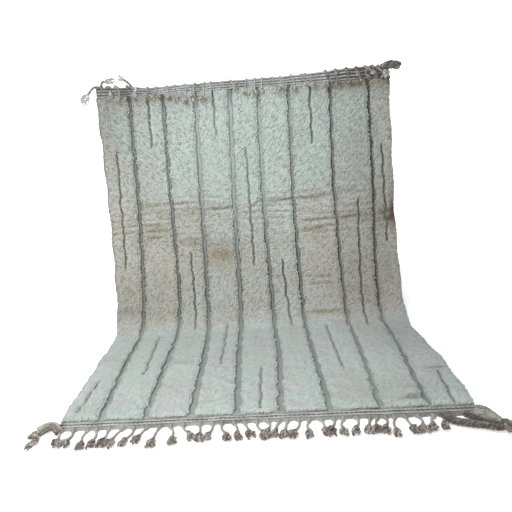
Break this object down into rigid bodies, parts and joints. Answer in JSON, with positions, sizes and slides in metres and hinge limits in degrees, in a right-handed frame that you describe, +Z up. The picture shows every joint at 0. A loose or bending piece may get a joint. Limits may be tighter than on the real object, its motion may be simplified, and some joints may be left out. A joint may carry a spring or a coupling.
{
  "type": "knotted wool rug hung by its upper end",
  "caption": "Knotted wool pile rug with plain sunken lines, flat-woven ends and tasselled fringe, hung by its upper end, bending forward and running out over the floor.",
  "frame": {"origin": "middle of the upper end band's top edge, where the rug is held up", "axes": "+X across the rug, +Z up, -Y the way the pile faces and the lying end runs out"},
  "size_m": [2.1839, 1.7821, 1.7497],
  "materials": {
    "pile_wool": "undyed ivory wool, knotted and cut at about 19 mm, matt and crumbly, with faint tan fold marks",
    "band_wool": "grey-beige wool, weft-faced flat weave with twined rows; the fringe is plied yarn of the same wool, browner"
  },
  "bodies": {
    "root": {"rug_pile": "pile_wool", "upper_end_band": "band_wool", "lower_end_band": "band_wool"}
  },
  "joints": []
}
